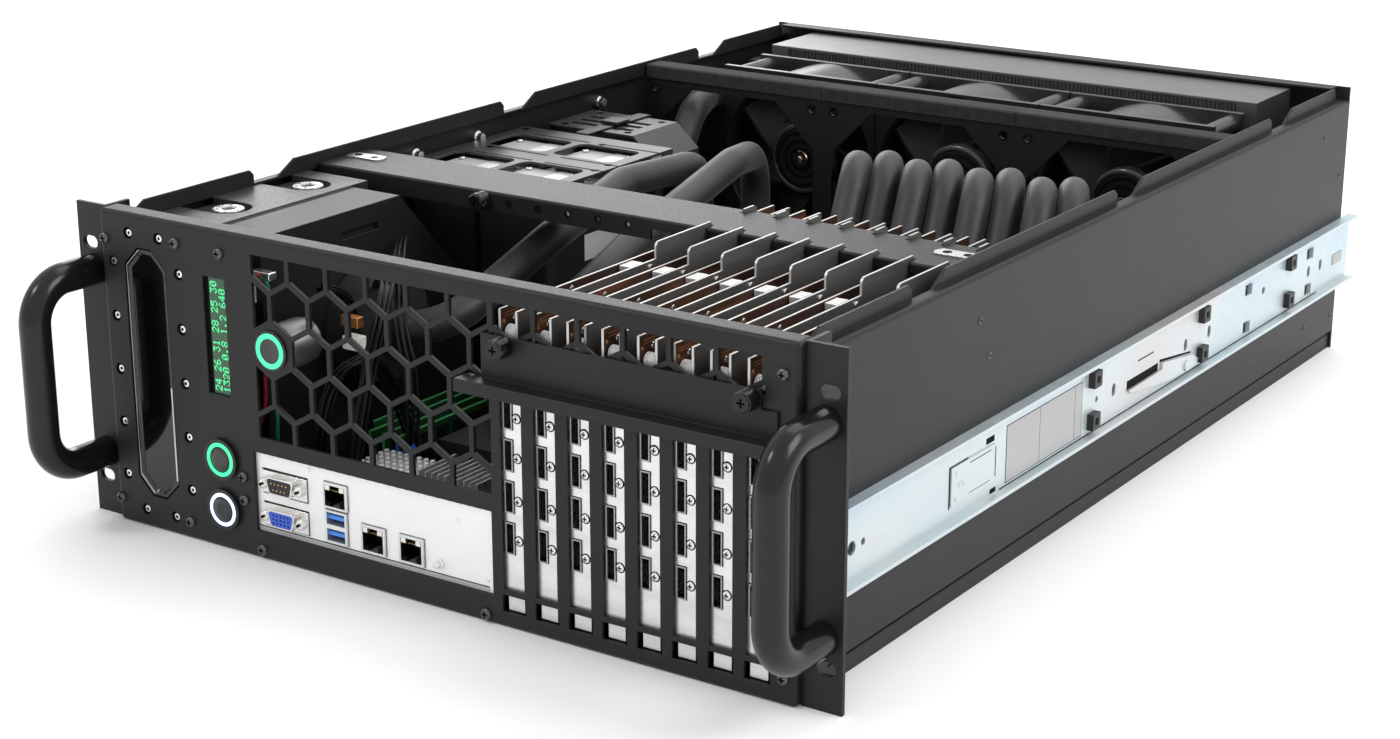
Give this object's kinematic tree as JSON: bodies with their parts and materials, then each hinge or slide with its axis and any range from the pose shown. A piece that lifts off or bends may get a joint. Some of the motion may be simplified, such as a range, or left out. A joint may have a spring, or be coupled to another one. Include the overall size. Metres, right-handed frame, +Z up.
{
  "type": "gpu server",
  "caption": "Rack server with open top, slotted ears, tube handles and slide rails, holding liquid-cooled graphics cards, a coolant loop and fans.",
  "frame": {"origin": "middle of the footprint of the whole part, on the underside of the case", "axes": "+Z up, front panel towards -Y, +X to the right seen from the front"},
  "size_m": [0.4826, 0.7415, 0.177],
  "materials": {
    "black_paint": "fine-textured black powder coat",
    "handle_black": "satin black coat",
    "zinc": "bluish zinc plating",
    "steel": "bare bright steel",
    "shield_steel": "pale matt steel",
    "pcb_black": "black solder mask",
    "slot_black": "moulded black plastic",
    "memory_green": "green solder mask",
    "copper": "dark oxidised copper",
    "acetal": "black acetal",
    "clear": "clear acrylic",
    "rubber_black": "matt black hose rubber",
    "fan_black": "glossy black moulding",
    "frame_black": "black moulding",
    "aluminium": "bare aluminium",
    "display_glass": "dark display glass",
    "light_lens": "lit translucent lens",
    "black_screw": "black oxide"
  },
  "bodies": {
    "case": {"base_tray": "black_paint", "board_heatsinks": "aluminium", "button_bezels": "frame_black", "button_lights": "light_lens", "card_slots": "slot_black", "clamp_bar": "black_paint", "controller_cover": "black_paint", "cpu_water_block": "aluminium", "crossbar": "black_paint", "d_sub_ports": "steel", "display_ports": "steel", "fan_frames": "frame_black", "fan_wall": "black_paint", "front_panel": "black_paint", "gpu_backplates": "steel", "gpu_boards": "pcb_black", "gpu_brackets": "steel", "gpu_hoses": "rubber_black", "gpu_terminals": "steel", "gpu_water_blocks": "copper", "io_shield": "shield_steel", "jack_ports": "steel", "lcd_display": "display_glass", "left_ear": "black_paint", "left_handle": "handle_black", "left_rail": "zinc", "left_side_panel": "black_paint", "main_hoses": "rubber_black", "manifolds": "acetal", "memory_modules": "memory_green", "motherboard": "pcb_black", "power_inlets": "slot_black", "power_supplies": "aluminium", "pump": "acetal", "pump_cover": "black_paint", "radiator": "frame_black", "rear_panel": "black_paint", "rear_shelf": "black_paint", "reservoir_body": "acetal", "reservoir_screws": "steel", "reservoir_window": "clear", "right_ear": "black_paint", "right_handle": "handle_black", "right_rail": "zinc", "right_side_panel": "black_paint", "status_light": "light_lens", "storage_cage": "black_paint", "storage_drives": "aluminium"},
    "power_button": {"power_button": "black_screw"},
    "reset_button": {"reset_button": "black_screw"},
    "fan_rotor_left": {"fan_rotor_left": "fan_black"},
    "fan_rotor_centre": {"fan_rotor_centre": "fan_black"},
    "fan_rotor_right": {"fan_rotor_right": "fan_black"},
    "clamp_screw_left": {"clamp_screw_left": "black_screw"},
    "clamp_screw_right": {"clamp_screw_right": "black_screw"},
    "crossbar_screw": {"crossbar_screw": "black_screw"},
    "fill_cap_front": {"fill_cap_front": "steel"},
    "fill_cap_rear": {"fill_cap_rear": "steel"},
    "left_rail_lever": {"left_rail_lever": "zinc"},
    "right_rail_lever": {"right_rail_lever": "zinc"}
  },
  "joints": [
    {"name": "power_press", "type": "slide", "parent": "case", "child": "power_button", "axis": [0, 1, 0], "range_m": [0, 0.0025], "stiffness_N_per_m": 500},
    {"name": "reset_press", "type": "slide", "parent": "case", "child": "reset_button", "axis": [0, 1, 0], "range_m": [0, 0.0025], "stiffness_N_per_m": 500},
    {"name": "fan_spin_left", "type": "hinge", "parent": "case", "child": "fan_rotor_left", "pos_m": [-0.121, 0.22575, 0.11], "axis": [0, 1, 0], "continuous": true},
    {"name": "fan_spin_centre", "type": "hinge", "parent": "case", "child": "fan_rotor_centre", "pos_m": [0, 0.22575, 0.11], "axis": [0, 1, 0], "continuous": true},
    {"name": "fan_spin_right", "type": "hinge", "parent": "case", "child": "fan_rotor_right", "pos_m": [0.121, 0.22575, 0.11], "axis": [0, 1, 0], "continuous": true},
    {"name": "clamp_screw_left_turn", "type": "hinge", "parent": "case", "child": "clamp_screw_left", "pos_m": [0.0544, -0.32385, 0.1473], "axis": [0, 1, 0], "continuous": true},
    {"name": "clamp_screw_right_turn", "type": "hinge", "parent": "case", "child": "clamp_screw_right", "pos_m": [0.1951, -0.32385, 0.1473], "axis": [0, 1, 0], "continuous": true},
    {"name": "crossbar_screw_turn", "type": "hinge", "parent": "case", "child": "crossbar_screw", "pos_m": [-0.0881, -0.15865, 0.1656], "axis": [0, 1, 0], "continuous": true},
    {"name": "fill_cap_front_turn", "type": "hinge", "parent": "case", "child": "fill_cap_front", "pos_m": [-0.187, -0.25825, 0.164], "axis": [0, 0, 1], "continuous": true},
    {"name": "fill_cap_rear_turn", "type": "hinge", "parent": "case", "child": "fill_cap_rear", "pos_m": [-0.187, -0.19425, 0.164], "axis": [0, 0, 1], "continuous": true},
    {"name": "left_rail_release", "type": "hinge", "parent": "case", "child": "left_rail_lever", "pos_m": [-0.222, 0.10465, 0.0545], "axis": [1, 0, 0], "range_deg": [0, 4], "stiffness_Nm_per_rad": 2},
    {"name": "right_rail_release", "type": "hinge", "parent": "case", "child": "right_rail_lever", "pos_m": [0.222, 0.10465, 0.0545], "axis": [1, 0, 0], "range_deg": [0, 4], "stiffness_Nm_per_rad": 2}
  ]
}
